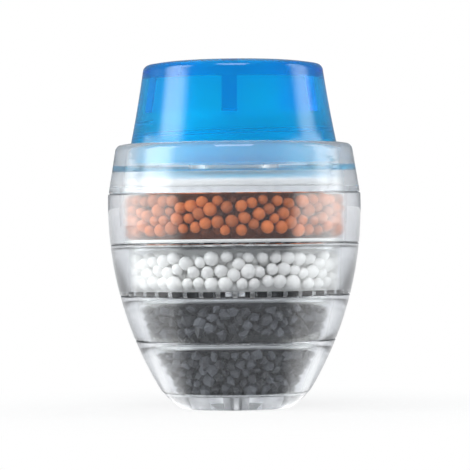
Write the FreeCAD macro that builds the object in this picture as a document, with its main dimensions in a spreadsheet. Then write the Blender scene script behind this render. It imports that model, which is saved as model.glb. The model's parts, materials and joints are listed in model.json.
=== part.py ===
import FreeCAD, Part
import math
import operator
import os
import random

import Sketcher

# Tap-mounted water filter: a screw cap over a rubber sleeve, a clear collar, four clear stacked
# cups with ceramic balls and black granules in them, and a slotted foot. Millimetres, +Z up,
# origin at the centre of the foot, the photographed face towards -Y.

V = FreeCAD.Vector
OUT = "parts"
os.makedirs(OUT, exist_ok=True)
doc = FreeCAD.newDocument("tap_filter")


# Driving dimensions

DIMENSIONS = [
    # clear body: one arc of revolution from the foot to the belly, then a straight collar
    ("belly_radius", 26.0), ("belly_height", 41.4), ("flank_radius", 73.0),
    ("seam_break", 0.2), ("seam_gap", 0.05), ("fit_gap", 0.1), ("move_gap", 0.3),
    # heights of the stacked cups, from the foot up
    ("foot_height", 3.3), ("cup_four_height", 10.7), ("cup_three_height", 9.2),
    ("cup_two_height", 10.45), ("cup_one_height", 10.4),
    # walls of the cups, at the mouth and at the floor
    ("wall_one", 3.25), ("wall_two", 3.76), ("wall_three", 3.6), ("wall_three_low", 2.3),
    ("wall_four", 3.66), ("wall_four_low", 2.57),
    ("floor_thick", 1.3), ("floor_felted", 0.5), ("floor_thin", 0.8), ("mouth_depth", 1.1),
    ("spigot_depth", 0.8), ("spigot_wall", 0.8), ("foot_spigot_wall", 1.2),
    # slots in the floors and in the strainer
    ("slot_width", 0.9), ("slot_margin", 1.2), ("slot_hub_share", 0.36), ("slot_split_share", 0.6),
    ("slot_rib", 0.8), ("outer_slots", 40), ("inner_slots", 20),
    # outlet foot
    ("foot_plate_top", 3.0), ("foot_draw", 4.07), ("foot_edge_arc", 12.0), ("foot_ring", 1.2),
    ("foot_recess", 0.5), ("outlet_hole", 1.6), ("outlet_width", 2.6), ("outlet_hub_share", 0.42),
    ("outlet_reach_share", 0.93), ("outlet_count", 8),
    # collar with its deck, groove, threaded neck and inner cup
    ("collar_height", 10.25), ("collar_step", 0.15), ("collar_taper", 1.35),
    ("lip_drop", 1.7), ("lip_arc", 1.6), ("lip_inset", 1.0), ("lip_fall", 0.25),
    ("deck_thick", 6.1), ("deck_rim", 2.6), ("groove_width", 2.1), ("groove_depth", 4.9),
    ("neck_step", 2.4), ("neck_height", 4.6), ("neck_bore_share", 0.8225), ("neck_bore_draw", 1.0),
    ("well_step", 1.9), ("well_floor", 1.5), ("well_gap", 0.85),
    ("water_hole", 6.0), ("edge_break", 0.3),
    # screw thread
    ("thread_pitch", 2.5), ("thread_base", 1.0), ("thread_crest", 0.5), ("thread_depth", 0.9),
    ("thread_root", 0.1), ("thread_start", 1.2), ("neck_thread_rise", 2.75), ("cap_thread_rise", 2.75),
    # screw cap
    ("cap_height", 16.8), ("cap_rim_gap", 0.7), ("cap_taper", 2.6), ("cap_flare", 260.0),
    ("cap_corner", 1.5), ("cap_crown", 0.6), ("cap_crown_arc", 40.0), ("cap_plate", 3.8),
    ("spout_hole", 11.0), ("spout_edge", 0.8), ("thread_room", 1.2), ("cap_bore_rise", 6.7),
    ("cap_bore_draw", 1.0), ("fin_thick", 3.0), ("fin_set", 0.6), ("fin_count", 6),
    # rubber and felt
    ("sleeve_proud", 0.6), ("tap_radius", 8.1), ("tap_lead", 1.1), ("grip_groove", 0.5),
    ("grip_pitch", 2.2), ("slip_thick", 0.6), ("slip_lead", 0.9), ("slip_set", 0.2),
    ("washer_thick", 1.5), ("strainer_lap", 0.9), ("strainer_thick", 1.0), ("pad_gap", 0.2),
    ("pad_thick", 1.5), ("felt_thick", 0.45), ("felt_thick_top", 0.8),
    # filling
    ("mineral_ball", 1.25), ("softener_ball", 1.45), ("granule", 1.5),
]

sheet = doc.addObject("Spreadsheet::Sheet", "Dimensions")
for row, (alias, number) in enumerate(DIMENSIONS, start=1):
    sheet.set(f"A{row}", alias)
    sheet.set(f"B{row}", str(number))
    sheet.setAlias(f"B{row}", alias)
doc.recompute()


# Sizes that keep the formula they come from

SIGNS = {"+": operator.add, "-": operator.sub, "*": operator.mul, "/": operator.truediv}


class Size:
    """A number together with the sheet formula that gives it."""

    def __init__(self, value, formula):
        self.value = float(value)
        self.formula = formula

    def join(self, other, sign, swapped=False):
        other = as_size(other)
        first, second = (other, self) if swapped else (self, other)
        value = SIGNS[sign](first.value, second.value)
        return Size(value, f"({first.formula} {sign} {second.formula})")

    def __add__(self, other):
        return self.join(other, "+")

    def __radd__(self, other):
        return self.join(other, "+", True)

    def __sub__(self, other):
        return self.join(other, "-")

    def __rsub__(self, other):
        return self.join(other, "-", True)

    def __mul__(self, other):
        return self.join(other, "*")

    def __rmul__(self, other):
        return self.join(other, "*", True)

    def __truediv__(self, other):
        return self.join(other, "/")


def as_size(number):
    return number if isinstance(number, Size) else Size(number, repr(float(number)))


def root(size):
    return Size(math.sqrt(size.value), f"sqrt({size.formula})")


def given(alias):
    """The sheet's size of that name."""
    return Size(getattr(sheet, alias), f"Dimensions.{alias}")


def count(alias):
    return int(round(getattr(sheet, alias)))


def flank(level):
    """Outer radius of the clear body at a level between the foot and the belly."""
    below = given("belly_height") - level
    reach = root(given("flank_radius") * given("flank_radius") - below * below)
    return given("belly_radius") - given("flank_radius") + reach


# Levels of the seams, from the foot up

seam = given("seam_gap")
fit = given("fit_gap")
move = given("move_gap")
level_four = given("foot_height")
level_three = level_four + given("cup_four_height")
level_two = level_three + given("cup_three_height")
level_one = level_two + given("cup_two_height")
level_top = level_one + given("cup_one_height")
strainer_top = level_top + given("strainer_thick")
pad_top = strainer_top + given("pad_thick")
deck_top = level_top + given("collar_height")
deck_low = deck_top - given("deck_thick")
neck_top = deck_top + given("neck_height")
cap_top = deck_top + given("cap_height")
well_low = pad_top + given("well_gap")
washer_low = well_low + given("well_floor")
sleeve_low = washer_low + given("washer_thick") + fit
sleeve_top = neck_top + given("sleeve_proud")
slip_top = sleeve_top + given("slip_thick")
fin_low = slip_top + fit


# Radii, from the flank inwards

bore_one = flank(level_top) - given("wall_one")
bore_two = flank(level_one) - given("wall_two")
bore_three = flank(level_two) - given("wall_three")
bore_three_low = flank(level_three) - given("wall_three_low")
bore_four = flank(level_three) - given("wall_four")
bore_four_low = flank(level_four) - given("wall_four_low")
foot_spigot = bore_four_low + given("foot_spigot_wall")
foot_radius = flank(level_four) - given("foot_draw")
foot_recess_radius = foot_radius - given("foot_ring")
collar_radius = flank(level_top) - given("collar_step")
lip_radius = collar_radius - given("collar_taper")
groove_outer = lip_radius - given("deck_rim")
groove_inner = groove_outer - given("groove_width")
neck_radius = groove_inner - given("neck_step")
neck_bore = neck_radius * given("neck_bore_share")
neck_bore_low = neck_bore - given("neck_bore_draw")
well_radius = neck_radius - given("well_step")
strainer_radius = bore_one + given("strainer_lap")
cap_radius = groove_outer - given("cap_rim_gap")
cap_high_radius = cap_radius - given("cap_taper")
cap_bore = neck_radius + given("thread_room")
cap_bore_high = cap_bore - given("cap_bore_draw")
skirt_inner = groove_inner + move
sleeve_radius = neck_bore - move
sleeve_radius_low = neck_bore_low - move


# Sketch and feature helpers

def origin_part(body, role):
    return [part for part in body.Origin.OriginFeatures if part.Role == role][0]


def bind(item, name, size):
    item.setExpression(name, size.formula)


def pin_point(sketch, edge, end, across, up):
    """Holds one end of an edge at its two sizes, measured from the origin."""
    for kind, axis, size in (("DistanceX", -2, across), ("DistanceY", -1, up)):
        if abs(size.value) < 1e-9:
            sketch.addConstraint(Sketcher.Constraint("PointOnObject", edge, end, axis))
            continue
        place = sketch.addConstraint(Sketcher.Constraint(kind, -1, 1, edge, end, size.value))
        bind(sketch, f"Constraints[{place}]", size)


def arc_between(start, finish, radius):
    """A round edge; a positive radius bulges to the right of the way from start to finish."""
    along = finish - start
    half = along.Length / 2
    left = V(-along.y, along.x, 0).normalize() * math.copysign(math.sqrt(radius * radius - half * half), radius)
    centre = (start + finish) * 0.5 + left
    ends = (start, finish) if radius > 0 else (finish, start)
    first, last = (math.atan2(end.y - centre.y, end.x - centre.x) for end in ends)
    if last < first:
        last += 2 * math.pi
    return Part.ArcOfCircle(Part.Circle(centre, V(0, 0, 1), abs(radius)), first, last)


def outline(body, name, corners, role="XZ_Plane", level=None):
    """A closed sketch through corners (across, up[, arc radius of the edge that leaves it])."""
    sketch = body.newObject("Sketcher::SketchObject", name)
    sketch.AttachmentSupport = [(origin_part(body, role), "")]
    sketch.MapMode = "FlatFace"
    if level is not None:
        bind(sketch, "AttachmentOffset.Base.z", level)
    points = [(as_size(corner[0]), as_size(corner[1])) for corner in corners]
    places = [V(across.value, up.value, 0) for across, up in points]
    ends = []
    for index, corner in enumerate(corners):
        start, finish = places[index], places[(index + 1) % len(places)]
        if len(corner) == 3:
            radius = as_size(corner[2]).value
            edge = sketch.addGeometry(arc_between(start, finish, radius))
            ends.append((edge, 1, 2) if radius > 0 else (edge, 2, 1))
        else:
            edge = sketch.addGeometry(Part.LineSegment(start, finish))
            ends.append((edge, 1, 2))
    for index, (edge, first, last) in enumerate(ends):
        after = ends[(index + 1) % len(ends)]
        sketch.addConstraint(Sketcher.Constraint("Coincident", edge, last, after[0], after[1]))
        pin_point(sketch, edge, first, *points[index])
    for index, corner in enumerate(corners):
        if len(corner) == 3:
            size = as_size(corner[2])
            size = size if size.value > 0 else as_size(0) - size
            place = sketch.addConstraint(Sketcher.Constraint("Radius", ends[index][0], size.value))
            bind(sketch, f"Constraints[{place}]", size)
    return sketch


def new_body(label):
    body = doc.addObject("PartDesign::Body", label)
    body.Label = label
    return body


def turned(label, corners):
    """A body whose outline is turned once round the axis."""
    body = new_body(label)
    sketch = outline(body, label + "_outline", corners)
    spin = body.newObject("PartDesign::Revolution", label + "_turned")
    spin.Profile = sketch
    spin.ReferenceAxis = (sketch, ["V_Axis"])
    spin.Angle = 360
    doc.recompute()
    return body


def repeat(body, feature, sketch, number):
    """Repeats a feature round the axis and checks that the body changed."""
    before = body.Shape.Volume
    pattern = body.newObject("PartDesign::PolarPattern", feature.Name + "_ring")
    pattern.Originals = [feature]
    pattern.Axis = (sketch, ["N_Axis"])
    pattern.Angle = 360
    pattern.Occurrences = number
    body.Tip = pattern
    doc.recompute()
    assert abs(body.Shape.Volume - before) > 1e-3, feature.Name
    return pattern


def pocket_up(body, sketch, depth):
    """Cuts a sketch upwards and checks that material went."""
    before = body.Shape.Volume
    pocket = body.newObject("PartDesign::Pocket", sketch.Name + "_cut")
    pocket.Profile = sketch
    pocket.Reversed = True
    bind(pocket, "Length", depth)
    doc.recompute()
    assert body.Shape.Volume < before - 1e-3, sketch.Name
    return pocket


def rectangle(inner, outer, half):
    return [(inner, as_size(0) - half), (outer, as_size(0) - half), (outer, half), (inner, half)]


def slot_rings(body, label, reach, level, depth):
    """Two rings of radial slots through a floor, out to the reach."""
    half = given("slot_width") / 2
    split = reach * given("slot_split_share")
    rings = [
        ("outer", split + given("slot_rib"), reach, count("outer_slots")),
        ("inner", reach * given("slot_hub_share"), split, count("inner_slots")),
    ]
    for ring, inner, outer, number in rings:
        sketch = outline(body, f"{label}_{ring}_slot", rectangle(inner, outer, half), "XY_Plane", level)
        repeat(body, pocket_up(body, sketch, depth), sketch, number)


def helix_ridge(body, label, corners, rise):
    """A thread ridge that climbs by the pitch in each turn."""
    before = body.Shape.Volume
    sketch = outline(body, label + "_section", corners)
    ridge = body.newObject("PartDesign::AdditiveHelix", label)
    ridge.Profile = sketch
    ridge.ReferenceAxis = (sketch, ["V_Axis"])
    ridge.Mode = "pitch-height-angle"
    bind(ridge, "Pitch", given("thread_pitch"))
    bind(ridge, "Height", rise)
    ridge.Angle = 0
    doc.recompute()
    assert body.Shape.Volume > before + 1e-3, label
    return ridge


# Clear cups

def cup_outer(low, high):
    """Outer edge of a cup with its seam edges broken, from the lower to the upper seam."""
    nick = given("seam_break")
    return [
        (flank(low) - nick, low),
        (flank(low + nick), low + nick, given("flank_radius")),
        (flank(high - nick), high - nick),
        (flank(high) - nick, high),
    ]


def cup(number, low, high, bore, bore_low, floor, next_bore, slot_reach):
    """A cup with a slotted floor and a spigot that plugs into the cup below."""
    spigot_out = next_bore - fit
    spigot_in = spigot_out - given("spigot_wall")
    label = f"chamber_{number}"
    body = turned(label, [
        (0, low), (spigot_in, low), (spigot_in, low - given("spigot_depth")),
        (spigot_out, low - given("spigot_depth")), (spigot_out, low),
        *cup_outer(low, high),
        (bore, high), (bore, high - given("mouth_depth")), (bore_low, low + floor), (0, low + floor),
    ])
    slot_rings(body, label, slot_reach, low, floor)
    return body


margin = given("slot_margin") * 2
cup(1, level_one, level_top - seam, bore_one, bore_one - fit, given("floor_felted"), bore_two,
    bore_two - margin)
cup(2, level_two, level_one - seam, bore_two, bore_two - fit, given("floor_thick"), bore_three,
    bore_two - given("slot_rib"))
cup(3, level_three, level_two - seam, bore_three, bore_three_low, given("floor_thin"), bore_four,
    bore_four - margin)

# the lowest cup is open below and stands in the foot
foot_seat = given("foot_plate_top")
turned("chamber_4", [
    (bore_four_low, foot_seat + seam), (foot_spigot, foot_seat + seam), (foot_spigot, level_four),
    *cup_outer(level_four, level_three - seam),
    (bore_four, level_three - seam), (bore_four, level_three - given("mouth_depth")),
])


# Outlet foot

foot_rim = flank(level_four) - given("seam_break")
foot = turned("outlet_base", [
    (0, given("foot_recess")), (foot_recess_radius, given("foot_recess")),
    (foot_recess_radius + given("edge_break"), 0), (foot_radius, 0, given("foot_edge_arc")),
    (foot_rim, level_four - seam), (foot_spigot + fit, level_four - seam),
    (foot_spigot + fit, foot_seat), (0, foot_seat),
])


def middle_hole(radius):
    """A round hole up through the middle of the foot."""
    sketch = foot.newObject("Sketcher::SketchObject", "middle_hole")
    sketch.AttachmentSupport = [(origin_part(foot, "XY_Plane"), "")]
    sketch.MapMode = "FlatFace"
    hole = sketch.addGeometry(Part.Circle(V(0, 0, 0), V(0, 0, 1), radius.value))
    pin_point(sketch, hole, 3, as_size(0), as_size(0))
    place = sketch.addConstraint(Sketcher.Constraint("Radius", hole, radius.value))
    bind(sketch, f"Constraints[{place}]", radius)
    pocket_up(foot, sketch, foot_seat)


middle_hole(given("outlet_hole"))
window = outline(foot, "outlet_window", rectangle(
    foot_recess_radius * given("outlet_hub_share"), foot_recess_radius * given("outlet_reach_share"),
    given("outlet_width") / 2), "XY_Plane")
repeat(foot, pocket_up(foot, window, foot_seat), window, count("outlet_count"))

# a rib between two windows faces the front
FOOT_TURN = 22.5
foot.Placement = FreeCAD.Placement(V(0, 0, 0), FreeCAD.Rotation(V(0, 0, 1), FOOT_TURN))


# Collar

lip_level = deck_top - given("lip_drop")
groove_low = deck_top - given("groove_depth")
collar_bore = bore_one + fit
nick = given("edge_break")
collar = turned("neck_collar", [
    (given("water_hole"), well_low), (well_radius, well_low), (well_radius, deck_low),
    (collar_bore, deck_low), (collar_bore, strainer_top), (strainer_radius + fit, strainer_top),
    (strainer_radius + fit, level_top), (collar_radius - given("seam_break"), level_top),
    (collar_radius, level_top + given("seam_break")), (lip_radius, lip_level, given("lip_arc")),
    (lip_radius - given("lip_inset"), deck_top - given("lip_fall")),
    (groove_outer, deck_top), (groove_outer, groove_low), (groove_inner, groove_low),
    (groove_inner, deck_top), (neck_radius, deck_top), (neck_radius, neck_top - nick),
    (neck_radius - nick, neck_top), (neck_bore + nick, neck_top), (neck_bore, neck_top - nick),
    (neck_bore_low, washer_low), (given("water_hole"), washer_low),
])

thread_level = deck_top + given("thread_start")


def ridge_section(root_radius, towards):
    """Section of a thread ridge that stands on a cylinder, outwards or inwards."""
    buried = root_radius - towards * given("thread_root")
    crest = root_radius + towards * given("thread_depth")
    base, top = given("thread_base") / 2, given("thread_crest") / 2
    return [
        (buried, thread_level - base), (crest, thread_level - top),
        (crest, thread_level + top), (buried, thread_level + base),
    ]


helix_ridge(collar, "neck_thread", ridge_section(neck_radius, 1), given("neck_thread_rise"))


# Screw cap

skirt_low = groove_low + move
plate_low = cap_top - given("cap_plate")
crown_low = cap_top - given("cap_crown")
corner = given("cap_corner")
ledge = deck_top + move
cap = turned("tap_cap", [
    (skirt_inner, skirt_low), (cap_radius, skirt_low),
    (cap_radius, deck_top, as_size(0) - given("cap_flare")),
    (cap_high_radius, crown_low - corner, corner * 1.02),
    (cap_high_radius - corner, crown_low, given("cap_crown_arc")),
    (given("spout_hole") + given("spout_edge"), cap_top, given("spout_edge") * 1.02),
    (given("spout_hole"), cap_top - given("spout_edge")), (given("spout_hole"), plate_low),
    (cap_bore_high, plate_low), (cap_bore, deck_top + given("cap_bore_rise")),
    (cap_bore, ledge), (skirt_inner, ledge),
])

fin_inner = given("spout_hole") + given("fin_set")
fin_outer = cap_bore + given("thread_root")
fin_half = given("fin_thick") / 2
fin_sketch = outline(cap, "cap_fin_section", [
    (as_size(0) - fin_half, fin_inner), (fin_half, fin_inner),
    (fin_half, fin_outer), (as_size(0) - fin_half, fin_outer),
], "XY_Plane", fin_low)
fin = cap.newObject("PartDesign::Pad", "cap_fin")
fin.Profile = fin_sketch
bind(fin, "Length", plate_low - fin_low + given("edge_break"))
doc.recompute()
repeat(cap, fin, fin_sketch, count("fin_count"))
helix_ridge(cap, "cap_thread", ridge_section(cap_bore, -1), given("cap_thread_rise"))

# the two ridges start half a turn apart, so they run midway between one another
CAP_TURN = 180.0 - 2.4
cap.Placement = FreeCAD.Placement(V(0, 0, 0), FreeCAD.Rotation(V(0, 0, 1), CAP_TURN))


# Rubber sleeve with grip rings, slip ring and washer

tap = given("tap_radius")
grips = []
for index in range(3):
    middle = sleeve_top - given("tap_lead") - given("grip_pitch") * (index + 0.75)
    grips += [
        (tap, middle + given("grip_groove")), (tap + given("grip_groove"), middle),
        (tap, middle - given("grip_groove")),
    ]
turned("tap_sleeve", [
    (tap, sleeve_low), (sleeve_radius_low, sleeve_low), (sleeve_radius, sleeve_top),
    (tap + given("tap_lead"), sleeve_top), (tap, sleeve_top - given("tap_lead")), *grips,
])


def ring_piece(label, inner, outer, low, high):
    return turned(label, [(inner, low), (outer, low), (outer, high), (inner, high)])


ring_piece("slip_ring", tap + given("slip_lead"), sleeve_radius - given("slip_set"), sleeve_top, slip_top)
ring_piece("neck_washer", given("water_hole"), sleeve_radius_low,
           washer_low, washer_low + given("washer_thick"))


# Strainer and pad over the first cup

strainer = turned("inlet_strainer", [
    (0, level_top), (strainer_radius, level_top), (strainer_radius, strainer_top), (0, strainer_top),
])
slot_rings(strainer, "inlet_strainer", bore_one - given("slot_margin"), level_top,
           given("strainer_thick"))


def disc(label, radius, low, thick):
    """A flat round sheet."""
    sheet_disc = doc.addObject("Part::Cylinder", label)
    sheet_disc.Label = label
    bind(sheet_disc, "Radius", radius)
    bind(sheet_disc, "Height", thick)
    bind(sheet_disc, "Placement.Base.z", low)
    return sheet_disc


felt = given("felt_thick")
spigot_in_loss = fit * 2 + given("spigot_wall")
disc("sediment_pad", bore_one - given("pad_gap"), strainer_top, given("pad_thick"))
disc("felt_1", bore_one - fit * 2, level_one + given("floor_felted"), given("felt_thick_top"))
disc("felt_2", bore_three - spigot_in_loss, level_two - felt, felt)
disc("felt_3", bore_four - spigot_in_loss, level_three - felt, felt)
disc("felt_4", bore_four_low - fit, foot_seat, felt)


# Filling: a core with faceted balls or granules standing out of it, as they lie against the wall

GOLDEN = (1 + math.sqrt(5)) / 2
CORNERS = [
    V(*point) for a in (-1, 1) for b in (-GOLDEN, GOLDEN)
    for point in ((0, a, b), (a, b, 0), (b, 0, a))
]
EDGE_LENGTH = 2.0


def touching(a, b):
    return abs((CORNERS[a] - CORNERS[b]).Length - EDGE_LENGTH) < 0.01


TRIANGLES = [
    (a, b, c) for a in range(12) for b in range(a + 1, 12) for c in range(b + 1, 12)
    if touching(a, b) and touching(b, c) and touching(a, c)
]


def grain(centre, radii, turn):
    """A ball or chip of twenty facets with its own three radii."""
    unit = CORNERS[0].Length
    points = []
    for corner in CORNERS:
        stretched = V(corner.x * radii[0], corner.y * radii[1], corner.z * radii[2]) * (1 / unit)
        points.append(centre + turn.multVec(stretched))
    faces = [Part.Face(Part.makePolygon([points[a], points[b], points[c], points[a]]))
             for a, b, c in TRIANGLES]
    solid = Part.Solid(Part.makeShell(faces))
    if solid.Volume < 0:
        solid.reverse()
    return solid


def bed(label, low, high, wall_low, wall_high, size, rows, spread, seed):
    """A filling whose grains touch the wall of its cup in staggered rows."""
    draw = random.Random(seed)
    low, high, wall_low, wall_high = (size_of.value for size_of in (low, high, wall_low, wall_high))
    grains = []
    pitch = (high - low - 2 * size) / (rows - 1)
    for row in range(rows):
        level = low + size + row * pitch
        wall = wall_low + (wall_high - wall_low) * (level - low) / (high - low)
        ring = wall - size
        number = int(2 * math.pi * ring / (2 * size * 1.04))
        for index in range(number):
            angle = 2 * math.pi * (index + 0.5 * (row % 2)) / number
            radii = [size * draw.uniform(1 - spread, 1) for axis in range(3)]
            axis = V(draw.uniform(-1, 1), draw.uniform(-1, 1), draw.uniform(0.1, 1))
            turn = FreeCAD.Rotation(axis, draw.uniform(0, 360))
            centre = V(ring * math.cos(angle), ring * math.sin(angle), level)
            grains.append(grain(centre, radii, turn))
    core = Part.makeCone(wall_low - size, wall_high - size, high - low, V(0, 0, low)) \
        if abs(wall_low - wall_high) > 0.01 else Part.makeCylinder(wall_low - size, high - low, V(0, 0, low))
    item = doc.addObject("Part::Feature", label)
    item.Label = label
    item.Shape = core.multiFuse(grains)
    return item


bed("mineral_balls", level_one + given("floor_felted") + given("felt_thick_top") + fit, level_top - fit,
    bore_one - fit * 2, bore_one - fit * 2, sheet.mineral_ball, 4, 0.12, 11)
bed("softener_balls", level_two + given("floor_thick") + fit, level_one - felt,
    bore_two - fit * 2, bore_two - fit * 2, sheet.softener_ball, 3, 0.12, 12)
bed("carbon_upper", level_three + given("floor_thin") + fit, level_two - felt,
    bore_three_low - fit, bore_three - fit * 2, sheet.granule, 3, 0.35, 23)
bed("carbon_lower", foot_seat + felt, level_three - felt,
    bore_four_low - fit, bore_four - fit * 2, sheet.granule, 3, 0.35, 14)

doc.recompute()


# Check and write every piece

NODES = [
    "tap_cap", "slip_ring", "tap_sleeve", "neck_washer", "neck_collar", "sediment_pad",
    "inlet_strainer", "mineral_balls", "chamber_1", "felt_1", "softener_balls", "chamber_2",
    "felt_2", "carbon_upper", "chamber_3", "felt_3", "carbon_lower", "chamber_4", "felt_4",
    "outlet_base",
]

for item in doc.Objects:
    if "Invalid" in item.State or "Error" in item.State:
        raise RuntimeError(f"{item.Name} failed: {item.State}")

for label in NODES:
    item = doc.getObjectsByLabel(label)[0]
    shape = item.Shape
    if shape.isNull() or not shape.isValid() or len(shape.Solids) != 1:
        raise RuntimeError(f"{label} has no good solid")
    shape.exportStep(f"{OUT}/{label}.step")
    box = shape.optimalBoundingBox()
    print(f"{label}: volume {shape.Volume:.1f} mm3, radius {box.XMax:.2f}, z {box.ZMin:.2f} to {box.ZMax:.2f}")
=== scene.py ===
# %% [markdown]
# # A clear tap filter with a blue screw cap
# The filter is a stack of clear plastic cups. Water comes in through the cap, runs through a layer
# of brown ceramic balls, a layer of white ones and two layers of black granules, and leaves by the
# spray foot. The solid model gives every piece its place and form. This file gives each piece its
# looks, pours the beds, and sets up the white room in which the picture is taken.

# %% Start with the solid model
import json
import math

import bmesh
import bpy
from mathutils import Euler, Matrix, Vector


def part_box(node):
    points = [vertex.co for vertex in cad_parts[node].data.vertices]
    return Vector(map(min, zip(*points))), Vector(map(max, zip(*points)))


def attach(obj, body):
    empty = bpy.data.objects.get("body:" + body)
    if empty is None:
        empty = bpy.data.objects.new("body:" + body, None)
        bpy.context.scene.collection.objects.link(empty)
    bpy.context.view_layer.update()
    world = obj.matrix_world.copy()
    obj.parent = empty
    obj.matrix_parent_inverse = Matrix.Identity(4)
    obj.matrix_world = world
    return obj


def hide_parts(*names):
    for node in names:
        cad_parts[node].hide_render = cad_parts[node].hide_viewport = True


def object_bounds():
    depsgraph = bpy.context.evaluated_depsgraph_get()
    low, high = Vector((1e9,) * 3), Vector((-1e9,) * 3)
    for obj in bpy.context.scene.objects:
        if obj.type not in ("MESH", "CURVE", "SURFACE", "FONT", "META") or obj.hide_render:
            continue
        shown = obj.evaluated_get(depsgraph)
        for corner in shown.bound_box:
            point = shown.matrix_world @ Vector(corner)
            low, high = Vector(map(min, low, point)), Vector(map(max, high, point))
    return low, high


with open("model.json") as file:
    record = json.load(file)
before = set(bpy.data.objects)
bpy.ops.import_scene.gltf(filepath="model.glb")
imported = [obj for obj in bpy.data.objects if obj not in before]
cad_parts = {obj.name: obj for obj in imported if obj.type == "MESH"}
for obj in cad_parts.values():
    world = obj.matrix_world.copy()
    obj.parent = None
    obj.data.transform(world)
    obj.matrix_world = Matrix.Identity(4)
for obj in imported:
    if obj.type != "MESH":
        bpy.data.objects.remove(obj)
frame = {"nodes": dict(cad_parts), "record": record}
cad_low, cad_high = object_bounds()
MM = 0.001
print("solid model, mm:", [round(side / MM, 1) for side in cad_high - cad_low])

# %% [markdown]
# ## Shader maths that reads like Python
# A finish is a graph of nodes. Linking them one by one hides what the finish does, so a small class
# wraps one socket, and an expression such as `1 - grain * 0.3` adds its Math nodes by itself. Each
# operator also has its reflected form, because in `1 - grain` the plain number comes first.


# %% One socket that can be used in a sum
def plug(socket, value):
    """Links a signal to a socket, or writes a plain value on it."""
    if isinstance(value, Signal):
        socket.id_data.links.new(value.socket, socket)
    else:
        socket.default_value = value


def operator(operation, reflected=False):
    """The method behind one Python operator. The reflected one swaps its two terms."""
    def apply(self, other):
        terms = (other, self) if reflected else (self, other)
        return self.math(operation, *terms)
    return apply


class Signal:
    def __init__(self, socket):
        self.socket = socket

    def math(self, operation, *terms):
        node = self.socket.id_data.nodes.new("ShaderNodeMath")
        node.operation = operation
        for socket, value in zip(node.inputs, terms):
            plug(socket, value)
        return Signal(node.outputs[0])

    __add__, __radd__ = operator("ADD"), operator("ADD", reflected=True)
    __sub__, __rsub__ = operator("SUBTRACT"), operator("SUBTRACT", reflected=True)
    __mul__, __rmul__ = operator("MULTIPLY"), operator("MULTIPLY", reflected=True)
    __truediv__, __rtruediv__ = operator("DIVIDE"), operator("DIVIDE", reflected=True)
    __pow__, __rpow__ = operator("POWER"), operator("POWER", reflected=True)

    def __abs__(self):
        return self.math("ABSOLUTE", self)

    def or_larger(self, other):
        return self.math("MAXIMUM", self, other)


# %% [markdown]
# ## One class for every graph
# A finish, the world and a recipe for a shape are all node graphs. Any node comes from one method,
# which takes its type, its settings and the values or links of its sockets. What comes up again and
# again, such as a blend of two colours or a smooth step, has a short name of its own.


# %% Nodes by type, settings and sockets
class Graph:
    def __init__(self, tree):
        self.tree = tree

    def node(self, kind, settings=None, sockets=None, out=0):
        """Adds a node: first its settings, then the values or links of its sockets."""
        node = self.tree.nodes.new(kind)
        for name, value in (settings or {}).items():
            setattr(node, name, value)
        for name, value in (sockets or {}).items():
            plug(node.inputs[name], value)
        return Signal(node.outputs[out])

    def blend(self, amount, first, second):
        """Colour from first to second as amount goes from 0 to 1."""
        return self.node("ShaderNodeMix", {"data_type": "RGBA"}, {0: amount, 6: first, 7: second}, out=2)

    def smooth_step(self, value, start, end, low=0.0, high=1.0):
        """Goes from low to high, gently at both ends, as the value goes from start to end."""
        return self.node("ShaderNodeMapRange", {"interpolation_type": "SMOOTHSTEP"}, {
            "Value": value, "From Min": start, "From Max": end, "To Min": low, "To Max": high,
        })

    def length(self, vector):
        return self.node("ShaderNodeVectorMath", {"operation": "LENGTH"}, {0: vector}, out=1)

    def split(self, vector, axis):
        """One part of a vector: 0 is x, 1 is y."""
        return self.node("ShaderNodeSeparateXYZ", sockets={0: vector}, out=axis)

    def rays(self, *kinds):
        """For each kind of ray a signal that is 1 on such a ray and 0 on others."""
        path = self.tree.nodes.new("ShaderNodeLightPath")
        return [Signal(path.outputs[f"Is {kind} Ray"]) for kind in kinds]


# %% [markdown]
# ## A finish
# Every finish starts from Blender's Principled shader. A number that is the same all over goes on the
# shader's own socket. What varies is read from Object coordinates in millimetres, so it stays on the
# piece when the cap turns. Clear plastic stops the rays by which Blender looks for a lamp, so what lies
# inside would be nearly black. The shader of a clear finish therefore gives way to a plain tint on
# these shadow rays, which lets the lamps through.


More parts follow.
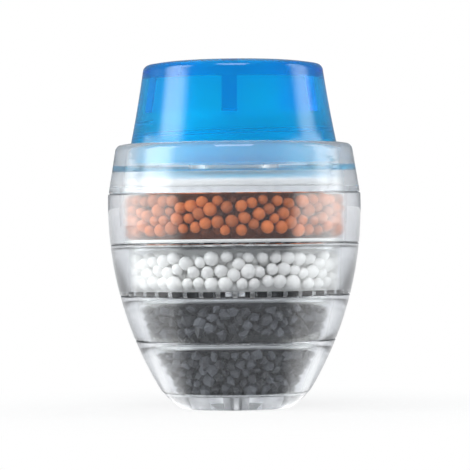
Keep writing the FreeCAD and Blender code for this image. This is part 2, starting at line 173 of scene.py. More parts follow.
# %% The finish class
class Finish(Graph):
    def __init__(self, name, plain=None):
        self.material = bpy.data.materials.new(name)
        self.material.use_nodes = True
        super().__init__(self.material.node_tree)
        self.tree.nodes.clear()
        self.output = self.tree.nodes.new("ShaderNodeOutputMaterial")
        self.shader = self.tree.nodes.new("ShaderNodeBsdfPrincipled")
        self.look = Signal(self.shader.outputs[0])
        plug(self.output.inputs["Surface"], self.look)
        for socket, value in (plain or {}).items():
            self.set(socket, value)

    def set(self, socket, value):
        plug(self.shader.inputs[socket], value)

    def place(self, stretch=(1, 1, 1)):
        """Object coordinates in millimetres. A stretch below 1 draws a pattern out along its axis."""
        here = self.node("ShaderNodeTexCoord", out="Object")
        return self.node("ShaderNodeMapping", sockets={"Vector": here, "Scale": [s / MM for s in stretch]})

    def noise(self, size, detail=2.0, stretch=(1, 1, 1)):
        """Soft noise whose blotches are about size millimetres across."""
        return self.node("ShaderNodeTexNoise", {"noise_dimensions": "3D"}, {
            "Vector": self.place(stretch), "Scale": 1.0 / size, "Detail": detail,
        })

    def bump(self, height, strength, depth):
        """Hills and hollows that are depth millimetres high at full strength."""
        return self.node("ShaderNodeBump", sockets={
            "Height": height, "Strength": strength, "Distance": depth * MM,
        })

    def own(self, attribute):
        """A number that the mesh itself carries."""
        return self.node("ShaderNodeAttribute", {"attribute_name": attribute}, out=2)

    def give_way(self, share, other):
        """Puts another shader in place of this one where share is 1."""
        mix = self.node("ShaderNodeMixShader", sockets={0: share, 1: self.look, 2: other})
        plug(self.output.inputs["Surface"], mix)

    def lets_lamps_through(self, tint):
        tinted = self.node("ShaderNodeBsdfTransparent", sockets={"Color": (*tint, 1)})
        self.give_way(self.rays("Shadow")[0], tinted)

    def absorbs(self, colour, per_mm):
        """A dye all through the solid, which takes the other colours out with depth."""
        volume = self.node("ShaderNodeVolumeAbsorption", sockets={
            "Color": (*colour, 1), "Density": per_mm / MM,
        })
        plug(self.output.inputs["Volume"], volume)


# %% [markdown]
# ## Clear plastic
# The cups, the collar and the foot are moulded in clear styrene-acrylonitrile. Its index is about 1.55,
# and a moulding is never quite flat, so a slow bump of a few microns bends the reflections a little.
# The outside is polished. The inside comes off a plain core, which leaves it slightly matt, and so the
# walls look evenly pale instead of like a lens. An attribute named frost says which faces are inside.
# The collar and the foot are a little milkier than the cups, the collar shows the fine rings of its
# turned mould, and the strainer is hazy all through.

# %% Clear plastic
CLEAR_INDEX = 1.55
POLISHED = 0.015
MOULD_FLOW = {"strength": 0.3, "depth": 0.03}


def clear_plastic(name, clearness, matt, rings=0.0):
    finish = Finish(name, {
        "Base Color": (0.97, 0.98, 1.0, 1), "IOR": CLEAR_INDEX, "Transmission Weight": clearness,
    })
    flow = finish.noise(6.0, detail=1.0, stretch=(1, 1, 0.5))
    turned = finish.noise(0.7, stretch=(0.02, 0.02, 1))
    finish.set("Normal", finish.bump(flow + turned * rings, **MOULD_FLOW))
    finish.set("Roughness", POLISHED + finish.noise(2.0) * 0.02 + finish.own("frost") * matt)
    finish.lets_lamps_through((0.98, 0.985, 0.99))
    return finish.material


FINISHES = {
    "clear": clear_plastic("clear_plastic", clearness=0.995, matt=0.12),
    "milky": clear_plastic("milky_plastic", clearness=0.95, matt=0.16),
    "hazy": clear_plastic("hazy_plastic", clearness=0.5, matt=0.3),
    "ringed": clear_plastic("ringed_plastic", clearness=0.93, matt=0.24, rings=0.9),
}
print("clear plastics:", ", ".join(FINISHES))

# %% [markdown]
# ## Blue plastic of the cap
# The cap is the same plastic with a strong blue dye, and its core side is frosted. A tint on the
# surface alone would make every part of it equally blue. So a share of the colour is absorption in
# the solid, which takes red out over a millimetre or two and leaves the thick top plate and the fin
# darker than the thin wall. The haze comes from a rougher surface.


# %% Blue plastic
def blue_plastic():
    finish = Finish("blue_plastic", {
        "Base Color": (0.0, 0.71, 0.93, 1), "IOR": CLEAR_INDEX, "Specular IOR Level": 0.2,
        "Transmission Weight": 0.92,
    })
    flow = finish.noise(7.0, detail=1.0, stretch=(1, 1, 0.5))
    finish.set("Normal", finish.bump(flow, **MOULD_FLOW))
    finish.set("Roughness", 0.12 + finish.noise(1.5) * 0.05 + finish.own("frost") * 0.3)
    finish.lets_lamps_through((0.0, 0.82, 0.98))
    finish.absorbs((0.0, 0.85, 0.965), per_mm=0.45)
    return finish.material


FINISHES["blue"] = blue_plastic()
print("cap:", FINISHES["blue"].name)

# %% [markdown]
# ## Fired clay of the balls
# The brown balls are fired clay and minerals, matt, each a little lighter or darker than the next. The
# white ones are calcium sulphite, chalky, and differ much less. One finish per ball would be hundreds
# of finishes, so each ball carries a number of its own for its tone and shade, and the finish turns it
# into a colour between that of a ball deep in the bed and that of one at the front. That number holds
# both the random tone of the ball and painted shade: the balls behind the front ones and the core get
# the deep colour, which is painted shade for the brown balls and a painted lighter fill for the white
# ones. Dust lies on top of it in fine speckles.

# %% Fired clay
DUSTY = 0.35
DUST_PALER = 1.35


def fired_clay(name, deep, front, roughness):
    finish = Finish(name)
    speckle = finish.noise(0.35, detail=3.0)
    # Random tone for the balls in front. The deep colour on the balls behind and on the core is painted:
    # shade for the brown balls, a lighter fill for the white ones.
    body = finish.blend(finish.own("tone_and_shade"), deep, front)
    dust = [min(1, part * DUST_PALER) for part in front[:3]] + [1]
    finish.set("Base Color", finish.blend(speckle * DUSTY, body, dust))
    finish.set("Roughness", roughness - speckle * 0.15)
    finish.set("Normal", finish.bump(speckle, strength=0.5, depth=0.04))
    return finish.material


# Painted shade: the deep brown is the colour of the shaded gaps between the front balls.
FINISHES["mineral"] = fired_clay(
    "mineral_clay", deep=(0.07, 0.013, 0.005, 1), front=(0.72, 0.185, 0.038, 1), roughness=0.8)
# Painted light: here the deep colour is the lighter one, so the gaps between the white balls are painted
# paler.
FINISHES["softener"] = fired_clay(
    "white_clay", deep=(0.92, 0.91, 0.88, 1), front=(0.73, 0.72, 0.70, 1), roughness=0.75)
print("clays:", FINISHES["mineral"].name, "and", FINISHES["softener"].name)

# %% [markdown]
# ## Charred shell of the granules
# The granules are charred coconut shell: nearly black, with small faces that catch the light. Only a
# few are greyer than the rest, so the tone is squared before it picks the colour. The granules behind
# the front ones and the core have a tone of nought and take the darkest colour, as painted shade.


# %% Charred shell
def charred_shell():
    finish = Finish("charred_shell")
    facet = finish.noise(0.9, detail=4.0)
    # A tone of nought, the darkest colour, is painted shade on the granules behind and on the core.
    body = finish.blend(finish.own("tone_and_shade") ** 2.0, (0.002, 0.002, 0.003, 1), (0.10, 0.105, 0.12, 1))
    finish.set("Base Color", body)
    finish.set("Roughness", 0.6 - facet * 0.4)
    finish.set("Normal", finish.bump(facet, strength=0.8, depth=0.25))
    return finish.material


FINISHES["carbon"] = charred_shell()
print("granules:", FINISHES["carbon"].name)

# %% [markdown]
# ## Silicone rubber
# The sleeve that grips the tap is milky silicone and the washer blue silicone. Light goes a little way
# into both and comes out beside where it went in, so they have a share of subsurface light, two
# millimetres deep, under a fine dull grain.


# %% Silicone rubber
def soft_rubber(name, colour):
    finish = Finish(name, {"Base Color": colour, "Subsurface Weight": 0.3, "Subsurface Scale": 2 * MM})
    grain = finish.noise(0.25)
    finish.set("Roughness", 0.42 + grain * 0.15)
    finish.set("Normal", finish.bump(grain, strength=0.2, depth=0.03))
    return finish.material


FINISHES["sleeve"] = soft_rubber("milky_silicone", (0.80, 0.87, 0.90, 1))
FINISHES["washer"] = soft_rubber("blue_silicone", (0.0, 0.22, 0.50, 1))
print("rubbers:", FINISHES["sleeve"].name, "and", FINISHES["washer"].name)

# %% [markdown]
# ## Felt and white plastic
# Felt is pressed fibre that lies every way. Single hairs would be far too many for so small a disc, so
# two noises, each drawn out along another axis, cross each other. The slip ring is white plastic with a
# fine spark finish.


# %% Felt and white plastic
def pressed_felt():
    finish = Finish("pressed_felt", {"Sheen Weight": 0.3})
    lengthways = finish.noise(0.4, detail=4.0, stretch=(1, 0.15, 1))
    crossways = finish.noise(0.4, detail=4.0, stretch=(0.15, 1, 1))
    fibres = lengthways * 0.5 + crossways * 0.5
    finish.set("Base Color", finish.blend(fibres, (0.62, 0.62, 0.61, 1), (0.76, 0.76, 0.75, 1)))
    finish.set("Roughness", 0.95 - fibres * 0.1)
    finish.set("Normal", finish.bump(fibres, strength=0.7, depth=0.1))
    return finish.material


def white_plastic():
    finish = Finish("white_plastic", {"Base Color": (0.86, 0.87, 0.88, 1)})
    spark = finish.noise(0.12)
    finish.set("Roughness", 0.35 + spark * 0.2)
    finish.set("Normal", finish.bump(spark, strength=0.15, depth=0.02))
    return finish.material


FINISHES["felt"] = pressed_felt()
FINISHES["white"] = white_plastic()
print("finishes:", ", ".join(FINISHES))

# %% [markdown]
# ## Pieces that stand for the solids
# A finished piece takes the place of one solid. It rides with the same body, so it moves when the cap
# is unscrewed.

# %% Stand in for a solid
BODY_OF = {
    node: body for body, nodes in frame["record"]["behaviour"]["bodies"].items() for node in nodes
}


def add_object(name, data):
    thing = bpy.data.objects.new(name, data)
    bpy.context.scene.collection.objects.link(thing)
    return thing


def stand_in(name, mesh, node):
    """A finished piece that stands for a node of the solid model and rides with its body."""
    piece = add_object(name, mesh)
    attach(piece, BODY_OF[node])
    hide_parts(node)
    print(name, len(mesh.polygons), "faces")
    return piece


print("bodies:", ", ".join(sorted(set(BODY_OF.values()))))

# %% [markdown]
# ## Polished outside, matt inside
# A mould polishes the outside of a cup, and the core that forms its inside is left matt. Two materials
# would need a hand-drawn border. The direction of a face already tells its side, so each face gets a
# number, frost, and one finish serves both. Floors are matt too, below a height that keeps the top
# plate of the cap and the lip of the collar polished, and so is all of the collar's neck, which stands
# within 20 mm of the axis.

# %% Tell the core side from the outside
MATT_BELOW = {"tap_cap": 68 * MM, "neck_collar": 53 * MM}
MATT_WITHIN = {"neck_collar": 20 * MM}
WHOLE_PIECE = 1.0
ON_AXIS = 1e-6
LEVEL = 0.3
TURNED_IN = -0.5


def mark_core_side(mesh, below, within):
    """Writes frost 1 on the inner faces and the floors, and 0 on the outside and the top."""
    frost = mesh.attributes.new("frost", "FLOAT", "FACE")
    for face in mesh.polygons:
        outwards = Vector((face.center.x, face.center.y, 0))
        if outwards.length < ON_AXIS:
            continue
        turned_out = face.normal.dot(outwards.normalized())
        floor = abs(turned_out) < LEVEL and face.center.z < below
        frost.data[face.index].value = float(turned_out < TURNED_IN or floor or outwards.length < within)


# %% [markdown]
# ## Smooth copies of the moulded pieces
# The solid model comes in as loose triangles, and clear plastic would show every one of them. So each
# moulded piece gets a copy whose points are merged, with smooth shading that breaks only at true edges.
# The copy keeps the form of the solid exactly.

# %% Copy, merge, smooth
SAME_POINT = 1e-7
MOULDED_EDGE = 35


def shade(mesh, true_edge):
    """Smooth shading that breaks at edges sharper than an angle in degrees."""
    mesh.shade_smooth()
    mesh.set_sharp_from_angle(angle=math.radians(true_edge))


def smooth_copy(node, finish):
    mesh = frame["nodes"][node].data.copy()
    mesh.name = node + "_smooth"
    for extra in ("custom_normal", "sharp_edge", "sharp_face"):
        if extra in mesh.attributes:
            mesh.attributes.remove(mesh.attributes[extra])
    shell = bmesh.new()
    shell.from_mesh(mesh)
    bmesh.ops.remove_doubles(shell, verts=shell.verts, dist=SAME_POINT)
    shell.to_mesh(mesh)
    shell.free()
    shade(mesh, MOULDED_EDGE)
    mark_core_side(mesh, MATT_BELOW.get(node, WHOLE_PIECE), MATT_WITHIN.get(node, 0.0))
    mesh.materials.clear()
    mesh.materials.append(finish)
    return stand_in(node + "_smooth", mesh, node)


MOULDED = [
    ("neck_collar", "ringed", "clear_body"), ("chamber_1", "clear", "clear_body"),
    ("chamber_2", "clear", "clear_body"), ("chamber_3", "clear", "clear_body"),
    ("chamber_4", "clear", "clear_body"), ("outlet_base", "milky", "clear_body"),
    ("tap_cap", "blue", "cap_blue"), ("tap_sleeve", "sleeve", "sleeve_rubber"),
    ("slip_ring", "white", "ring_plastic"), ("neck_washer", "washer", "washer_rubber"),
    ("inlet_strainer", "hazy", "clear_body"),
]
for node, finish, slot in MOULDED:
    smooth_copy(node, FINISHES[finish])

# %% [markdown]
# ## Beds of balls and granules, by Geometry Nodes
# A bed is hundreds of balls that lie at random but hardly overlap. Placed by hand they would look like
# rows, and a physics run would take long for what lies out of sight. A Poisson scatter keeps a least
# distance between points, which is what packing does, so one recipe serves all four beds. It is a node
# tree with a named input for each size, and it is built here in the order in which it works.


# %% A shape recipe with named inputs
class Recipe(Graph):
    """A Geometry Nodes tree. The kind of each input follows from its first value."""

    KINDS = {
        float: "NodeSocketFloat", int: "NodeSocketInt", bool: "NodeSocketBool",
        type(None): "NodeSocketMaterial",
    }

    def __init__(self, name, inputs):
        super().__init__(bpy.data.node_groups.new(name, "GeometryNodeTree"))
        face = self.tree.interface
        face.new_socket(name="Geometry", in_out="OUTPUT", socket_type="NodeSocketGeometry")
        self.names = {}
        for label, value in inputs.items():
            socket = face.new_socket(name=label, in_out="INPUT", socket_type=self.KINDS[type(value)])
            if value is not None:
                socket.default_value = value
            self.names[label] = socket.identifier
        self.entry = self.tree.nodes.new("NodeGroupInput")
        self.exit = self.tree.nodes.new("NodeGroupOutput")

    def given(self, label):
        return Signal(self.entry.outputs[label])

    def pack(self, *parts):
        """Three numbers or links as one vector."""
        return self.node("ShaderNodeCombineXYZ", sockets=dict(enumerate(parts)))

    def scaled(self, vector, amount):
        return self.node("ShaderNodeVectorMath", {"operation": "SCALE"}, {0: vector, "Scale": amount})

    def random_number(self, seed, low=0.0, high=1.0):
        """Another number for each point."""
        return self.node("FunctionNodeRandomValue", {"data_type": "FLOAT"}, {
            2: low, 3: high, "Seed": seed}, out=1)

    def random_vector(self, seed, low, high):
        """Another vector for each point."""
        return self.node("FunctionNodeRandomValue", {"data_type": "FLOAT_VECTOR"}, {
            0: low, 1: high, "Seed": seed})

    def store(self, geometry, name, value, domain="POINT"):
        return self.node("GeometryNodeStoreNamedAttribute", {"data_type": "FLOAT", "domain": domain}, {
            "Geometry": geometry, "Name": name, "Value": value,
        })

    def stored(self, name):
        return self.node("GeometryNodeInputNamedAttribute", {"data_type": "FLOAT"}, {"Name": name})

    def cone(self, inset, height, lift=0.0, sides=48, ends="NGON"):
        """A cone between the two wall radii, less an inset, that starts a lift above the bottom."""
        cone = self.node("GeometryNodeMeshCone", {"fill_type": ends}, {
            "Vertices": sides, "Radius Bottom": self.given("Wall low") - inset,
            "Radius Top": self.given("Wall high") - inset, "Depth": height,
        })
        return self.node("GeometryNodeTransform", sockets={
            "Geometry": cone, "Translation": self.pack(0.0, 0.0, self.given("Bottom") + lift),
        })

    def join(self, first, *others):
        """Join Geometry has one socket that takes many links."""
        whole = self.node("GeometryNodeJoinGeometry", sockets={0: first})
        for other in others:
            plug(whole.socket.node.inputs[0], other)
        return whole


# %% [markdown]
# ## Points on nested walls
# Only the balls next to the wall are seen, and a few behind them in the gaps. So the points lie on two
# nested walls, the second about one and a third ball radii further in. Far more points are tried than
# there is room for, and of any two on a wall that are closer than the spacing one goes. The points of
# the outer wall are marked as lit. Those of the inner wall are not, so their balls later take the
# painted shade of the gaps: darker for the brown balls and the granules, paler for the white balls.

# %% Points on one wall
SHELLS = 2
SHELL_STEP = 1.35
TRIED_PER_SQUARE_METRE = 3e7


def points_on_wall(bed, shell):
    ball = bed.given("Ball")
    inset = ball * (1.0 + SHELL_STEP * shell)
    wall = bed.cone(inset, bed.given("Height") - ball * 2.0, lift=ball, sides=96, ends="NONE")
    points = bed.node("GeometryNodeDistributePointsOnFaces", {"distribute_method": "POISSON"}, {
        "Mesh": wall, "Distance Min": bed.given("Spacing"), "Density Max": TRIED_PER_SQUARE_METRE,
        "Seed": bed.given("Seed") + float(shell),
    })
    # The inner wall is marked 0, so its balls later take the painted shade colour of the gaps.
    return bed.store(points, "lit", float(shell == 0))


# %% [markdown]
# ## A ball on every point
# Real balls differ in size, are never quite round, and lie turned every way. Each instance gets its own
# size, its own slight unevenness along each axis and its own turn, all from one seed. Its tone is
# random too, from dull to full on the outer wall. On the inner one it is nought, which gives the balls
# in the gaps the deep colour of their finish as painted shade, a painted lighter fill for the white balls.

# %% Balls with their own size, shape, turn and tone
LARGEST = 1.06
DULLEST = 0.4
FULL_TURN = (math.tau, math.tau, math.tau)


def balls_on(bed, points):
    seed = bed.given("Seed")
    narrow = 1.0 - bed.given("Uneven")
    own_shape = bed.random_vector(seed, bed.pack(narrow, narrow, narrow), (1.0, 1.0, 1.0))
    own_size = bed.random_number(seed + 3.0, 1.0 - bed.given("Spread"), LARGEST)
    ball = bed.node("GeometryNodeMeshIcoSphere", sockets={
        "Radius": bed.given("Ball"), "Subdivisions": bed.given("Round") + 1.0,
    })
    balls = bed.node("GeometryNodeInstanceOnPoints", sockets={
        "Points": points, "Instance": ball, "Scale": bed.scaled(own_shape, own_size),
        "Rotation": bed.random_vector(seed + 7.0, (0, 0, 0), FULL_TURN),
    })
    # Random tone on the outer wall, and nought on the inner wall, as painted shade for the gaps.
    own_tone_and_shade = bed.stored("lit") * (DULLEST + bed.random_number(seed + 13.0) * (1.0 - DULLEST))
    return bed.store(balls, "tone_and_shade", own_tone_and_shade, domain="INSTANCE")


# %% [markdown]
# ## Painted shade in the gaps, and dents
# Little light reaches the gaps between real balls, and the even light of a white room hides that. So
# the colour carries painted shade: the tone also falls with the depth of each point behind the wall,
# over the width of one ball. Then a shared noise pushes the points about. It runs through the whole
# bed, so it dents every ball in another way, a little for balls and a lot for granules.


# %% Darken and dent the balls
def darker_inside(bed, balls):
    # Painted shade: the tone falls with the depth of each point behind the wall, by the share Dusk.
    balls = bed.node("GeometryNodeRealizeInstances", sockets={"Geometry": balls})
    flat = bed.node("ShaderNodeVectorMath", {"operation": "MULTIPLY"}, {
        0: bed.node("GeometryNodeInputPosition"), 1: (1, 1, 0),
    })
    depth = (bed.given("Wall low") - bed.length(flat)) / (bed.given("Ball") * 2.0)
    depth = bed.node("ShaderNodeClamp", sockets={0: depth})
    return bed.store(balls, "tone_and_shade", bed.stored("tone_and_shade") * (1.0 - depth * bed.given("Dusk")))


def dented(bed, balls):
    noise = bed.node("ShaderNodeTexNoise", sockets={
        "Scale": bed.given("Dent size"), "Detail": 1.0,
    }, out=1)
    push = bed.node("ShaderNodeVectorMath", {"operation": "SUBTRACT"}, {0: noise, 1: (0.5, 0.5, 0.5)})
    return bed.node("GeometryNodeSetPosition", sockets={
        "Geometry": balls, "Offset": bed.scaled(push, bed.given("Dents")),
    })


# %% [markdown]
# ## The whole recipe
# The balls stand in front of a plain core, which closes the view through the bed and is itself out of
# sight. It carries no tone, so it takes the deep colour of its finish: painted shade behind the brown
# balls and the granules, and a painted paler fill behind the white ones. Geometry Nodes instances are
# lost when the object is taken elsewhere, so they are made real above, and the last node gives
# everything its finish.

# %% Put the recipe together
CORE_INSET = 2.9
BED_INPUTS = {
    "Wall low": 0.02, "Wall high": 0.02, "Bottom": 0.0, "Height": 0.01, "Ball": 0.001,
    "Spacing": 0.002, "Spread": 0.1, "Uneven": 0.1, "Dents": 0.0, "Dent size": 1.0, "Round": True,
    "Seed": 1, "Dusk": 0.0, "Material": None,
}


def bed_recipe():
    bed = Recipe("packed_bed", BED_INPUTS)
    points = bed.join(*[points_on_wall(bed, shell) for shell in range(SHELLS)])
    balls = dented(bed, darker_inside(bed, balls_on(bed, points)))
    # The core gets no tone, so its finish paints it in the deep colour, as painted shade.
    core = bed.cone(bed.given("Ball") * CORE_INSET, bed.given("Height"))
    smooth = bed.node("GeometryNodeSetShadeSmooth", sockets={
        "Geometry": bed.join(core, balls), "Shade Smooth": bed.given("Round"),
    })
    plug(bed.exit.inputs[0], bed.node("GeometryNodeSetMaterial", sockets={
        "Geometry": smooth, "Material": bed.given("Material"),
    }))
    return bed


BED = bed_recipe()
print("bed recipe:", len(BED.tree.nodes), "nodes")

# %% [markdown]
# ## Fill the four cups
# Each bed takes its bottom and its height from the solid that it stands for. Wall low and Wall high
# are the radii of the bed at its bottom and its top. Ball is a radius, and Spacing is a little under
# twice as much, so that neighbours touch. The recipe runs as a modifier on an empty holder, and its
# result is taken off as a plain mesh, after which the holder goes.

# %% Pour the beds
BALLS = {"Uneven": 0.1, "Dent size": 0.35 / MM, "Round": True}
GRANULES = {
    "Ball": 1.45 * MM, "Spacing": 1.9 * MM, "Spread": 0.15, "Uneven": 0.45, "Dents": 1.7 * MM,
    "Dent size": 0.8 / MM, "Round": False, "Dusk": 0.0, "Material": FINISHES["carbon"],
}


def pour(node, inputs):
    low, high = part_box(node)
    holder = add_object(node + "_holder", bpy.data.meshes.new(node + "_holder"))
    modifier = holder.modifiers.new("pour", "NODES")
    modifier.node_group = BED.tree
    for label, value in {**inputs, "Bottom": low.z, "Height": high.z - low.z}.items():
        modifier[BED.names[label]] = value
    bpy.context.view_layer.update()
    ready = holder.evaluated_get(bpy.context.evaluated_depsgraph_get())
    mesh = bpy.data.meshes.new_from_object(ready)
    bpy.data.objects.remove(holder)
    mesh.name = node + "_poured"
    return stand_in(node + "_poured", mesh, node)


pour("mineral_balls", {
    **BALLS, "Wall low": 22.55 * MM, "Wall high": 22.55 * MM, "Ball": 1.4 * MM, "Spacing": 2.1 * MM,
    "Spread": 0.26, "Dents": 0.25 * MM, "Seed": 3, "Dusk": 0.75, "Material": FINISHES["mineral"],
})
pour("softener_balls", {
    **BALLS, "Wall low": 21.65 * MM, "Wall high": 21.65 * MM, "Ball": 1.5 * MM, "Spacing": 2.2 * MM,
    "Spread": 0.22, "Dents": 0.2 * MM, "Seed": 5, "Dusk": 0.0, "Material": FINISHES["softener"],
})
pour("carbon_upper", {**GRANULES, "Wall low": 18.25 * MM, "Wall high": 19.9 * MM, "Seed": 8})
pour("carbon_lower", {**GRANULES, "Wall low": 12.6 * MM, "Wall high": 16.85 * MM, "Seed": 9})

# %% [markdown]
# ## Felt discs and the sediment pad
# Thin felt discs lie between the beds and the slotted floors, and a thicker pad on the strainer holds
# back sediment. Each is a flat cushion with a soft edge, so it is made as a low cylinder with a rounded
# rim, a hair smaller than its place. Where it touched the clear plastic it would look wet.

# %% Make the felts
FELT_INSET = 0.06 * MM
FELT_SIDES = 96
RIM_SHARE = 0.3
FELT_EDGE = 50
IN_PLANE = 1e-9


def felt_disc(node):
    low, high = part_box(node)
    radius = (high.x - low.x) / 2 - FELT_INSET
    thick = high.z - low.z - 2 * FELT_INSET
    disc = bmesh.new()
    bmesh.ops.create_cone(
        disc, cap_ends=True, segments=FELT_SIDES, radius1=radius, radius2=radius, depth=thick)
    rim = [edge for edge in disc.edges if abs(edge.verts[0].co.z - edge.verts[1].co.z) < IN_PLANE]
    bmesh.ops.bevel(disc, geom=rim, offset=thick * RIM_SHARE, segments=2, profile=0.5, affect="EDGES")
    bmesh.ops.translate(disc, verts=disc.verts, vec=(low + high) / 2)
    mesh = bpy.data.meshes.new(node + "_felt")
    disc.to_mesh(mesh)
    disc.free()
    shade(mesh, FELT_EDGE)
    mesh.materials.append(FINISHES["felt"])
    return stand_in(node + "_felt", mesh, node)


for node in ("sediment_pad", "felt_1", "felt_2", "felt_3", "felt_4"):
    felt_disc(node)

# %% [markdown]
# ## White room
# The photograph is a product picture on white, and the camera sees a world of plain white. Clear
# plastic would vanish in that, so what shows through it is pale behind the object and grey in front,
# which gives it its grey edges. What its outside mirrors is darker still, as dark flags beside the
# object would make it, so the blue stays deep at its edges. A ray that has passed through plastic also
# counts as glossy, so a truly mirrored one is glossy and not through. Diffuse rays get a lower level,
# so that colours stay as written.

# %% The world
AMBIENT = 0.7
FRONT_TO_BACK = (-0.35, 0.55)
WHITE = (1.0, 1.0, 1.0, 1)
BEHIND = (0.72, 0.75, 0.78, 1)
IN_FRONT = (0.47, 0.49, 0.51, 1)
MIRRORED_FRONT = (0.12, 0.14, 0.17, 1)
MIRRORED_BACK = (0.24, 0.26, 0.28, 1)
SEEN = ("Camera", "Glossy", "Transmission")


def white_room():
    world = bpy.data.worlds.new("white_room")
    world.use_nodes = True
    graph = Graph(world.node_tree)
    graph.tree.nodes.clear()
    output = graph.tree.nodes.new("ShaderNodeOutputWorld")
    direction = graph.node("ShaderNodeTexCoord", out=0)
    behind = graph.smooth_step(graph.split(direction, 1), *FRONT_TO_BACK)
    camera, glossy, through = graph.rays(*SEEN)
    colour = graph.blend(behind, IN_FRONT, BEHIND)
    mirrored = graph.blend(behind, MIRRORED_FRONT, MIRRORED_BACK)
    colour = graph.blend(glossy * (1.0 - through), colour, mirrored)
    shown = camera.or_larger(glossy).or_larger(through)
    light = graph.node("ShaderNodeBackground", sockets={
        "Color": graph.blend(camera, colour, WHITE), "Strength": AMBIENT + shown * (1.0 - AMBIENT),
    })
    plug(output.inputs["Surface"], light)
    bpy.context.scene.world = world
    print("world:", world.name, "ambient", AMBIENT)


white_room()

# %% [markdown]
# ## Floor
# The floor is white paper. Most of what the camera sees of it near the foot is its own light, so that
# only a soft shadow stays, and further out it goes over into the white of the room. In what the object
# mirrors, the paper glows in painted light: grey in front as painted shade, a bright painted pool of
# light on either side, where the softboxes would light it, and pale behind.

# %% The floor
PAPER_REACH = (-60.0, 60.0)
PAPER_BELOW = 0.2 * MM
FLOOR_OWN_LIGHT = 0.8
# Painted shade in front and a painted pool of light at the sides, seen only in what the object mirrors.
FLOOR_MIRRORED_SHADE = (0.30, 0.32, 0.35, 1)
FLOOR_THROUGH = (0.85, 0.87, 0.89, 1)
FLOOR_BACK = (0.85, 0.86, 0.88, 1)
PAINTED_LIGHT_POOL = (1.9, 1.9, 1.9, 1)
POOL_START = (-0.72, -0.45)
POOL_END = (0.15, 0.5)
SHADOW_REACH = (20.0, 80.0)


def flat_sheet(name, across, along, material):
    """A flat rectangle of the set, such as the floor or a screen, from its two spans."""
    corners = [(across[0], along[0], 0), (across[1], along[0], 0),
               (across[1], along[1], 0), (across[0], along[1], 0)]
    mesh = bpy.data.meshes.new(name)
    mesh.from_pydata(corners, [], [(0, 1, 2, 3)])
    mesh.materials.append(material)
    return add_object(name, mesh)


def paper_finish():
    paper = Finish("floor_paper", {"Base Color": (0.92, 0.92, 0.92, 1), "Roughness": 0.9})
    here = paper.place()
    away = paper.length(here)
    backwards = paper.split(here, 1) / away
    camera, glossy, through = paper.rays(*SEEN)
    # Painted reflection: the floor glows grey in front and bright at the sides for mirrored rays.
    mirrored = paper.blend(paper.smooth_step(backwards, *POOL_START), FLOOR_MIRRORED_SHADE, PAINTED_LIGHT_POOL)
    mirrored = paper.blend(paper.smooth_step(backwards, *POOL_END), mirrored, FLOOR_BACK)
    bounced = paper.blend(through, mirrored, FLOOR_THROUGH)
    glow = paper.node("ShaderNodeEmission", sockets={
        "Color": paper.blend(camera, bounced, WHITE), "Strength": 1.0,
    })
    own_light = paper.smooth_step(away, *SHADOW_REACH, low=FLOOR_OWN_LIGHT, high=1.0)
    paper.give_way(camera * own_light + glossy.or_larger(through), glow)
    return paper.material


floor = flat_sheet("paper_floor", PAPER_REACH, PAPER_REACH, paper_finish())
floor.location.z = cad_low.z - PAPER_BELOW
print("floor at, mm:", round(floor.location.z / MM, 2))

# %% [markdown]
# ## Softboxes
# A softbox is a lamp behind white cloth. Here it is a glowing screen that gets dimmer towards its
# sides, as the cloth does, so its picture on the object has no hard edge. Where that picture falls
# follows from the bearing: a wall whose face looks 45 degrees to the side mirrors what stands 90
# degrees to the side. The belly mirrors what is low, and the leaning wall of the cap what is higher. So
# each side has a wide low box, which makes the milky haze on the clear wall, and a narrow high one,
# which makes the streak on the cap.

# %% The softboxes
# In metres. The two spans are heights above the point that a screen is aimed at.
SCREEN_AWAY = 0.6
SCREEN_AIM = Vector((0, 0, 0.035))
LOW, HIGH = (-0.55, 0.14), (0.14, 0.55)
CLOTH = (0.96, 1.0, 0.99, 1)
DARK = (0, 0, 0, 1)


def screen_cloth(name, width, core, level):
    """Full light over the middle share of the width, then a smooth fall to nothing at the sides."""
    cloth = Finish(name + "_cloth", {"Base Color": DARK, "Roughness": 1.0, "Emission Strength": level})
    across = cloth.split(cloth.node("ShaderNodeTexCoord", out="Object"), 0)
    fall = cloth.smooth_step(abs(across), width / 2 * core, width / 2, low=1.0, high=0.0)
    cloth.set("Emission Color", cloth.blend(fall, DARK, CLOTH))
    return cloth.material


def softbox(name, bearing, width, core, level, span):
    """A glowing screen at a bearing in degrees from the camera's side, aimed at the object."""
    box = flat_sheet(name, (-width / 2, width / 2), span, screen_cloth(name, width, core, level))
    turn = math.radians(bearing)
    box.location = SCREEN_AIM + Vector((math.sin(turn), -math.cos(turn), 0)) * SCREEN_AWAY
    box.rotation_euler = (box.location - SCREEN_AIM).to_track_quat("Z", "Y").to_euler()
    print(name, "at", bearing, "degrees, radiance", level)


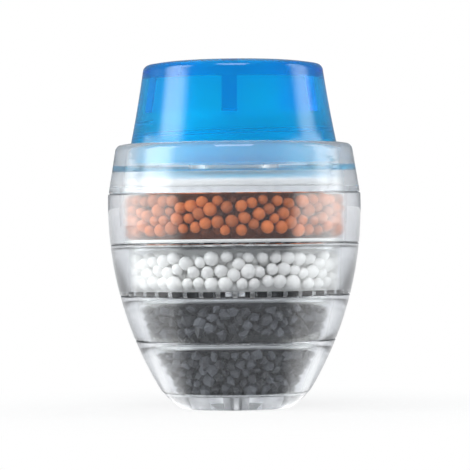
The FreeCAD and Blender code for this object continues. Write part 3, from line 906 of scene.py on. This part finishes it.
softbox("left_low_box", bearing=-87, width=1.0, core=0.5, level=3.0, span=LOW)
softbox("left_high_box", bearing=-77, width=0.5, core=0.3, level=5.5, span=HIGH)
softbox("right_low_box", bearing=86, width=0.86, core=0.45, level=3.8, span=LOW)
softbox("right_high_box", bearing=95, width=0.42, core=0.2, level=3.6, span=HIGH)

# %% [markdown]
# ## Top lamp
# A square lamp above and in front lights the top plate of the cap and the upper side of every ball.
# Hardly any face mirrors it towards the camera, so a plain area lamp does, without a cloth.


# %% The top lamp
def top_lamp(size, height, forward, level):
    """A square lamp whose power follows from its size, so that level is its brightness."""
    lamp = bpy.data.lights.new("top_lamp", "AREA")
    lamp.size = size
    lamp.energy = level * math.pi * size * size
    box = add_object("top_lamp", lamp)
    box.location = (0, -forward, height)
    box.rotation_euler = box.location.to_track_quat("Z", "Y").to_euler()
    print("top lamp, W:", round(lamp.energy, 1))


top_lamp(size=0.6, height=1.0, forward=0.7, level=4.6)

# %% [markdown]
# ## Camera
# The photograph was taken with a long lens, level with the middle of the body and rolled by a little
# more than half a degree. The distance follows from how the seams bend, and the lens from the scale of
# the picture.

# %% The camera
# The picture is measured in pixels, the sensor in millimetres, distances and heights in metres.
PICTURE = 470
MM_PER_PIXEL = 0.206
PIXELS_OFF_AXIS = 0.4
SENSOR = 36.0
DISTANCE = 0.565
EYE_HEIGHT = 0.0396
AIM_HEIGHT = 0.0354
ROLL = 0.6


def photo_camera():
    data = bpy.data.cameras.new("photo_camera")
    data.sensor_width = SENSOR
    data.lens = SENSOR * DISTANCE / (PICTURE * MM_PER_PIXEL * MM)
    camera = add_object("photo_camera", data)
    shift = PIXELS_OFF_AXIS * MM_PER_PIXEL * MM
    camera.location = (shift, -DISTANCE, EYE_HEIGHT)
    level = (camera.location - Vector((shift, 0, AIM_HEIGHT))).to_track_quat("Z", "Y")
    camera.rotation_mode = "QUATERNION"
    camera.rotation_quaternion = level @ Euler((0, 0, math.radians(-ROLL))).to_quaternion()
    bpy.context.scene.camera = camera
    print("lens, mm:", round(data.lens, 1))


photo_camera()
bpy.context.scene.view_settings.view_transform = "Standard"
